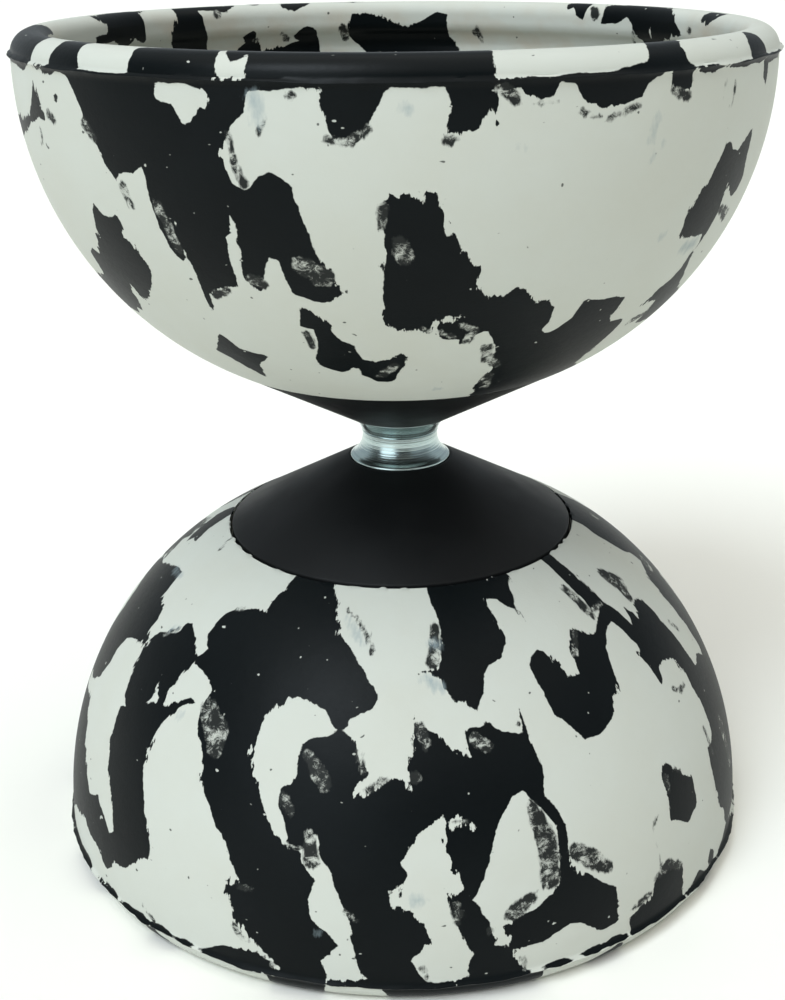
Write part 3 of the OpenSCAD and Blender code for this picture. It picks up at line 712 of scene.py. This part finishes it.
def deepest(measure, place, shapes):
    """The greatest depth in any of the shapes, kept within the limit either way."""
    turn, along, radius = place
    depth = np.full(turn.shape, -depth_limit)
    for shape in shapes:
        turns, alongs = [corner[0] for corner in shape], [corner[1] for corner in shape]
        centre, half = (min(turns) + max(turns)) / 2, (max(turns) - min(turns)) / 2
        near = abs(apart(turn, centre) - centre) < half + near_degrees
        near &= (along > min(alongs) - depth_limit) & (along < max(alongs) + depth_limit)
        found = measure(turn[near], along[near], radius[near], shape)
        depth[near] = np.maximum(depth[near], found)
    return np.minimum(depth, depth_limit)


def lay_rubber(mesh, black, white, mottled, smudged):
    """Stores how deep each point lies in the black (partly painted flash shadow), mottled and smudged
    rubber.
    """
    count = len(mesh.vertices)
    co = np.empty(count * 3)
    mesh.vertices.foreach_get("co", co)
    x, y, z = co.reshape(-1, 3).T / MM
    along = np.empty(count)
    mesh.attributes["along"].data.foreach_get("value", along)
    turn = np.degrees(np.arctan2(x, -y))
    place = (turn, along, np.hypot(x, y))
    depth = deepest(outline_depth, place, black)
    depth = np.minimum(depth, -deepest(outline_depth, place, white))
    # a dark ragged line along the flash: partly the black film the mould leaves, partly painted shadow
    # under the fin
    ragged = np.array([noise.noise(Vector((math.sin(t) * 16, math.cos(t) * 16, 3)))
                       for t in np.radians(turn)])
    depth = np.maximum(depth, flash_film_and_shadow_half + ragged - abs(along - flash_along))
    fields = {"black_and_shadow_depth": depth, "mottled_depth": deepest(streak_depth, place, mottled),
              "smudged_depth": deepest(streak_depth, place, smudged)}
    for name, values in fields.items():
        mesh.attributes.new(name, "FLOAT", "POINT").data.foreach_set("value", values.astype(np.float32))
    # mm round the cup on a ring of one size, and mm along the rubber, for patterns that follow it
    ring = 45.0
    flow = np.stack([ring * np.sin(np.radians(turn)), ring * np.cos(np.radians(turn)), along], 1)
    mesh.attributes.new("flow", "FLOAT_VECTOR", "POINT").data.foreach_set(
        "vector", flow.astype(np.float32).ravel())


# Moulded rubber in two colours: a satin black that turns grey at a slant, and an off-white with a
# green-grey cast, faint stains and grain. The colours meet in crisp, torn or finely combed edges.
rubber, tree, shader = start_material("marbled moulded rubber")
depth = add_node(tree, "ShaderNodeAttribute", attribute_name="black_and_shadow_depth").outputs["Fac"]
mottled = add_node(tree, "ShaderNodeAttribute", attribute_name="mottled_depth").outputs["Fac"]
smudged = add_node(tree, "ShaderNodeAttribute", attribute_name="smudged_depth").outputs["Fac"]
flow = add_node(tree, "ShaderNodeAttribute", attribute_name="flow").outputs["Vector"]
# edges wander, and in some places tear into teeth that run along the rubber
drawn = add_node(tree, "ShaderNodeMapping", {"Vector": flow, "Scale": (1, 1, 0.3)}).outputs[0]
wander = add_node(tree, "ShaderNodeTexNoise", {"Vector": flow, "Scale": 1 / 3.0, "Detail": 2.0})
teeth = add_node(tree, "ShaderNodeTexNoise", {"Vector": drawn, "Scale": 1 / 0.8, "Detail": 3.0,
                 "Roughness": 0.6})
crumbs = add_node(tree, "ShaderNodeTexNoise", {"Vector": flow, "Scale": 1 / 0.5, "Detail": 2.0})
torn = add_node(tree, "ShaderNodeTexNoise", {"Vector": flow, "Scale": 1 / 7.0, "Detail": 0.0})
torn = add_node(tree, "ShaderNodeMapRange", {"Value": torn.outputs["Fac"], "From Min": 0.47,
                "From Max": 0.66, "To Min": 0.06, "To Max": 3.5})
teeth_off = add_node(tree, "ShaderNodeMath", {0: teeth.outputs["Fac"], 1: -0.5}, operation="ADD")
edge = add_node(tree, "ShaderNodeMath", {0: teeth_off.outputs[0], 1: torn.outputs["Result"], 2: depth},
                operation="MULTIPLY_ADD")
edge = add_node(tree, "ShaderNodeMath", {0: wander.outputs["Fac"], 1: 1.2, 2: edge.outputs[0]},
                operation="MULTIPLY_ADD")
edge = add_node(tree, "ShaderNodeMath", {0: crumbs.outputs["Fac"], 1: 0.3, 2: edge.outputs[0]},
                operation="MULTIPLY_ADD")
white_share = add_node(tree, "ShaderNodeMapRange", {"Value": edge.outputs[0], "From Min": 0.69,
                       "From Max": 0.81, "To Min": 1.0, "To Max": 0.0})
# where the two colours are kneaded together they show as specks and veins
knead = add_node(tree, "ShaderNodeTexNoise", {"Vector": flow, "Scale": 1 / 1.2, "Detail": 6.0,
                 "Roughness": 0.85, "Distortion": 0.6})
thick = add_node(tree, "ShaderNodeTexNoise", {"Vector": flow, "Scale": 1 / 2.0, "Detail": 1.0})
specks = add_node(tree, "ShaderNodeMath", {0: thick.outputs["Fac"], 1: 0.5, 2: knead.outputs["Fac"]},
                  operation="MULTIPLY_ADD")
specks = add_node(tree, "ShaderNodeMapRange", {"Value": specks.outputs[0], "From Min": 0.76,
                  "From Max": 0.90, "To Min": 0.03, "To Max": 0.9})
zone = add_node(tree, "ShaderNodeMath", {0: teeth_off.outputs[0], 1: 1.6, 2: mottled},
                operation="MULTIPLY_ADD")
zone = add_node(tree, "ShaderNodeMapRange", {"Value": zone.outputs[0], "From Min": -0.1, "From Max": 0.25})
share = add_node(tree, "ShaderNodeMix", {"Factor_Float": zone.outputs["Result"],
                 "A_Float": white_share.outputs["Result"], "B_Float": specks.outputs["Result"]},
                 data_type="FLOAT").outputs[0]
# a few crumbs of each colour have strayed into the other
fleck = add_node(tree, "ShaderNodeTexNoise", {"Vector": flow, "Scale": 1 / 0.9, "Detail": 0.0})
fleck = add_node(tree, "ShaderNodeMapRange", {"Value": fleck.outputs["Fac"], "From Min": 0.85,
                 "From Max": 0.88, "To Max": 0.8})
other = add_node(tree, "ShaderNodeMath", {0: 1.0, 1: share}, operation="SUBTRACT")
share = add_node(tree, "ShaderNodeMix", {"Factor_Float": fleck.outputs["Result"], "A_Float": share,
                 "B_Float": other.outputs[0]}, data_type="FLOAT").outputs[0]
# the off-white yellows in clouds, and more so inside the cup, where dust settles
cloud = add_node(tree, "ShaderNodeTexNoise", {"Vector": flow, "Scale": 1 / 14.0, "Detail": 4.0,
                 "Roughness": 0.6})
clean = add_node(tree, "ShaderNodeMix", {"Factor_Float": cloud.outputs["Fac"],
                 "A_Color": to_linear("#C4C8C1"), "B_Color": to_linear("#BEBFB4")}, data_type="RGBA")
height = add_node(tree, "ShaderNodeSeparateXYZ", {"Vector": flow}).outputs["Z"]
inside = add_node(tree, "ShaderNodeMapRange", {"Value": height, "From Min": 72.0, "From Max": 76.0})
stain = add_node(tree, "ShaderNodeMapRange", {"Value": cloud.outputs["Fac"], "From Min": 0.46,
                 "From Max": 0.72})
stain = add_node(tree, "ShaderNodeMath", {0: stain.outputs["Result"], 1: inside.outputs["Result"]},
                 operation="MULTIPLY")
dusty = add_node(tree, "ShaderNodeMix", {"Factor_Float": stain.outputs[0], "A_Color": clean.outputs[2],
                 "B_Color": to_linear("#BAB09F")}, data_type="RGBA")
ink = add_node(tree, "ShaderNodeMix", {"Factor_Float": cloud.outputs["Fac"],
               "A_Color": to_linear("#060A0B"), "B_Color": to_linear("#0D1214")}, data_type="RGBA")
colour = add_node(tree, "ShaderNodeMix", {"Factor_Float": share, "A_Color": ink.outputs[2],
                  "B_Color": dusty.outputs[2]}, data_type="RGBA")
film = add_node(tree, "ShaderNodeMath", {0: teeth_off.outputs[0], 1: 3.0, 2: smudged},
                operation="MULTIPLY_ADD")
film = add_node(tree, "ShaderNodeMapRange", {"Value": film.outputs[0], "From Min": -0.2,
                "From Max": 1.2, "To Max": 0.7})
colour = add_node(tree, "ShaderNodeMix", {"Factor_Float": film.outputs["Result"],
                  "A_Color": colour.outputs[2], "B_Color": to_linear("#8A989C")}, data_type="RGBA")
tree.links.new(colour.outputs[2], shader.inputs["Base Color"])
bead = add_node(tree, "ShaderNodeMapRange", {"Value": height, "From Min": 64.5, "From Max": 66.5,
                "To Min": 0.38, "To Max": 0.29})
dull = add_node(tree, "ShaderNodeMapRange", {"Value": share, "To Min": bead.outputs["Result"],
                "To Max": 0.46})
dull = add_node(tree, "ShaderNodeMath", {0: crumbs.outputs["Fac"], 1: 0.10, 2: dull.outputs["Result"]},
                operation="MULTIPLY_ADD")
tree.links.new(dull.outputs[0], shader.inputs["Roughness"])
grain = add_node(tree, "ShaderNodeTexNoise", {"Vector": flow, "Scale": 1 / 0.35, "Detail": 2.0})
waves = add_node(tree, "ShaderNodeMath", {0: wander.outputs["Fac"], 1: 3.0, 2: grain.outputs["Fac"]},
                 operation="MULTIPLY_ADD")
waves = add_node(tree, "ShaderNodeMath", {0: share, 1: 0.6, 2: waves.outputs[0]}, operation="MULTIPLY_ADD")
relief = add_node(tree, "ShaderNodeBump", {"Height": waves.outputs[0], "Strength": 0.35,
                  "Distance": 0.04 * MM})
tree.links.new(relief.outputs["Normal"], shader.inputs["Normal"])
shader.inputs["Specular IOR Level"].default_value = 0.09

# The first number of each call is the seed of its draws.
back = (88, 272)                                    # degrees round, where the far side is
cups = {
    "upper": (BLACK_UPPER + random_lumps(5, *back, 4, 70, 50) + random_lumps(6, 250, 460, 84, 128, 44),
              WHITE_UPPER, MOTTLED_UPPER + random_streaks(7, *back, 2, 64, 40), SMUDGED_UPPER),
    "lower": (BLACK_LOWER + random_lumps(15, *back, 4, 70, 50) + random_lumps(16, 0, 360, 78, 128, 66),
              WHITE_LOWER, MOTTLED_LOWER + random_streaks(17, *back, 2, 64, 40), SMUDGED_LOWER),
}
for side_name, lumps in cups.items():
    bm = bmesh.new()
    lathe(bm, outline, steps=cup_steps)
    tip_r = (cup_r + flash_out - 0.2) * MM
    for vert in bm.verts:
        reach = math.hypot(vert.co.x, vert.co.y)
        if reach < (pocket_r + 0.1) * MM and vert.co.z < middle + (cone_edge_z + 1) * MM:
            around = vert.co.xy.normalized() * pocket_r
            nicked = noise.noise(Vector((around.x / nick_grain, around.y / nick_grain, 2)))
            vert.co.z += nick_lift * nicked * MM
            vert.co.xy *= 1 + (0.15 + nick_depth * nicked) * MM / reach
        if reach > tip_r:
            around = vert.co.xy.normalized() * 62
            ragged = noise.noise(Vector((around.x / flash_grain, around.y / flash_grain, 0)))
            lumpy = noise.noise(Vector((around.x / flash_wave, around.y / flash_wave, 9)))
            vert.co.xy *= 1 + (0.22 * ragged + 0.2 * lumpy - 0.25) * MM / reach
            vert.co.z += 0.25 * lumpy * MM
    along_layer = bm.verts.layers.float.new("along")
    for vert in bm.verts:
        r, z = math.hypot(vert.co.x, vert.co.y) / MM, (vert.co.z - middle) / MM
        vert[along_layer] = along_outline[profile.find((r, z, 0))[1]]
    if side_name == "lower":
        turn_over(bm)
    cup = finish_mesh(bm, "rubber_cup_" + side_name, sharp_degrees=50)
    lay_rubber(cup.data, *lumps)
    cup.data.materials.append(rubber)
    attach(cup, "root")
    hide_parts("cup_" + side_name)


# ---- Clamp plates -------------------------------------------------------------------------------
# A ribbed disc of black nylon inside each cup. It presses the rubber floor on to the back of the
# cone, and has a raised rim, six ribs and a raised seat for the washers.

plate_r = 26.0
plate_t = 2.5
plate_h = 5.0
plate_rim_t = 2.2
plate_seat_r = 11.5
plate_seat_wall = 2.2
plate_pad = 3.5
plate_rib_count = 6
plate_rib_t = 1.6

for side_name in ("upper", "lower"):
    bm = bmesh.new()
    top, web, pad = floor_z + plate_h, floor_z + plate_t, floor_z + plate_pad
    lathe(bm, [(screw_hole_r, floor_z), (plate_r, floor_z), (plate_r, top), (plate_r - plate_rim_t, top),
               (plate_r - plate_rim_t, web), (plate_seat_r, web), (plate_seat_r, top),
               (plate_seat_r - plate_seat_wall, top), (plate_seat_r - plate_seat_wall, pad),
               (screw_hole_r, pad)])
    soften(bm, 0.35, segments=3)
    for i in range(plate_rib_count):
        add_rib(bm, plate_seat_r - 1, plate_r - plate_rim_t + 1, web - 0.5, web - 0.5, top - 0.6,
                plate_rib_t, i * 360 / plate_rib_count)
    if side_name == "lower":
        turn_over(bm)
    plate = finish_mesh(bm, "nylon_plate_" + side_name)
    plate.data.materials.append(nylon)
    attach(plate, "root")
    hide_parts("clamp_plate_" + side_name)


# ---- Washers and screws -------------------------------------------------------------------------
# A zinc-plated flat washer, a split spring washer and a zinc-plated button-head screw with a
# hexagon socket hold each half on the axle. The screw runs into the tapped hole of the spigot.

washer_t = 1.6
washer_r = 8.0
washer_hole_r = 4.2
lock_t = 2.0
lock_r = 7.4
lock_hole_r = 4.1
lock_gap = 12                                       # degrees left open by the split
lock_turn = 35
head_r = 7.0
head_h = 4.4
head_side = 0.8
head_top_r = 3.9
key_flats = 5.0
key_depth = 3.0
shank_r = 3.95
screw_l = 25.0
pad_z = floor_z + plate_pad
lock_z = pad_z + washer_t
head_z = lock_z + lock_t

# Zinc-plated steel: a clear bluish silver with soft mottling from the bath.
zinc, tree, shader = start_material("zinc-plated steel")
place = add_node(tree, "ShaderNodeTexCoord").outputs["Object"]
bath = add_node(tree, "ShaderNodeTexNoise", {"Vector": place, "Scale": 1 / (1.2 * MM), "Detail": 4.0})
tone = add_node(tree, "ShaderNodeMix", {"Factor_Float": bath.outputs["Fac"],
                "A_Color": to_linear("#A9B0B3"), "B_Color": to_linear("#CDD2D2")}, data_type="RGBA")
tree.links.new(tone.outputs[2], shader.inputs["Base Color"])
dull = add_node(tree, "ShaderNodeMapRange", {"Value": bath.outputs["Fac"], "From Min": 0.3,
                "From Max": 0.7, "To Min": 0.25, "To Max": 0.42})
tree.links.new(dull.outputs["Result"], shader.inputs["Roughness"])
relief = add_node(tree, "ShaderNodeBump", {"Height": bath.outputs["Fac"], "Strength": 0.2,
                  "Distance": 0.02 * MM})
tree.links.new(relief.outputs["Normal"], shader.inputs["Normal"])
shader.inputs["Metallic"].default_value = 1.0

# Spring steel, oiled and tempered: darker and browner than zinc, with a mottled scale.
spring, tree, shader = start_material("tempered spring steel")
place = add_node(tree, "ShaderNodeTexCoord").outputs["Object"]
scale = add_node(tree, "ShaderNodeTexNoise", {"Vector": place, "Scale": 1 / (0.8 * MM), "Detail": 5.0})
tone = add_node(tree, "ShaderNodeMix", {"Factor_Float": scale.outputs["Fac"],
                "A_Color": to_linear("#3D3B3A"), "B_Color": to_linear("#6E6C69")}, data_type="RGBA")
tree.links.new(tone.outputs[2], shader.inputs["Base Color"])
dull = add_node(tree, "ShaderNodeMapRange", {"Value": scale.outputs["Fac"], "From Min": 0.3,
                "From Max": 0.7, "To Min": 0.32, "To Max": 0.5})
tree.links.new(dull.outputs["Result"], shader.inputs["Roughness"])
shader.inputs["Metallic"].default_value = 1.0

dome_h = head_h - head_side
dome_low = (head_r ** 2 - head_top_r ** 2 - dome_h ** 2) / (2 * dome_h)
head_dome_r = math.hypot(head_r, dome_low)
dome_from = math.degrees(math.asin(dome_low / head_dome_r))
dome_to = math.degrees(math.acos(head_top_r / head_dome_r))

for side_name in ("upper", "lower"):
    bm = bmesh.new()
    lathe(bm, [(washer_hole_r, pad_z), (washer_r, pad_z), (washer_r, lock_z), (washer_hole_r, lock_z)],
          steps=96)
    soften(bm, 0.2)
    if side_name == "lower":
        turn_over(bm)
    washer = finish_mesh(bm, "washer_" + side_name)
    washer.data.materials.append(zinc)
    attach(washer, "root")
    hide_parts("flat_washer_" + side_name)

    bm = bmesh.new()
    corners = [(lock_hole_r, lock_z), (lock_r, lock_z), (lock_r, head_z), (lock_hole_r, head_z)]
    verts = [bm.verts.new((r * MM, 0, middle + z * MM)) for r, z in corners]
    edges = [bm.edges.new(pair) for pair in zip(verts, verts[1:] + verts[:1])]
    bmesh.ops.rotate(bm, verts=verts, cent=(0, 0, 0),
                     matrix=Matrix.Rotation(math.radians(lock_turn + lock_gap / 2), 3, "Z"))
    bmesh.ops.spin(bm, geom=verts + edges, cent=(0, 0, 0), axis=(0, 0, 1),
                   angle=math.radians(360 - lock_gap), steps=90)
    bmesh.ops.holes_fill(bm, edges=bm.edges, sides=4)
    soften(bm, 0.15)
    if side_name == "lower":
        turn_over(bm)
    lock = finish_mesh(bm, "spring_washer_" + side_name)
    lock.data.materials.append(spring)
    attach(lock, "root")
    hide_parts("lock_washer_" + side_name)

    bm = bmesh.new()
    head_top, tip_z = head_z + head_h, head_z - screw_l
    key_r = key_flats / 2
    lathe(bm, [(0, tip_z), (shank_r - 1, tip_z), (shank_r, tip_z + 1), (shank_r, head_z), (head_r, head_z)]
          + arc(0, head_z + head_side - dome_low, head_dome_r, dome_from, dome_to, 0.5)
          + [(key_r, head_top), (key_r, head_top - key_depth), (0, head_top - key_depth - 0.8)],
          steps=96, closed=False)
    broach(bm, key_r, key_flats, head_top - key_depth, head_top)
    bmesh.ops.remove_doubles(bm, verts=bm.verts, dist=1e-6)
    soften(bm, 0.12, over_degrees=40)
    if side_name == "lower":
        turn_over(bm)
    screw = finish_mesh(bm, "screw_" + side_name)
    screw.data.materials.append(zinc)
    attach(screw, "root")
    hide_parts("axle_screw_" + side_name)
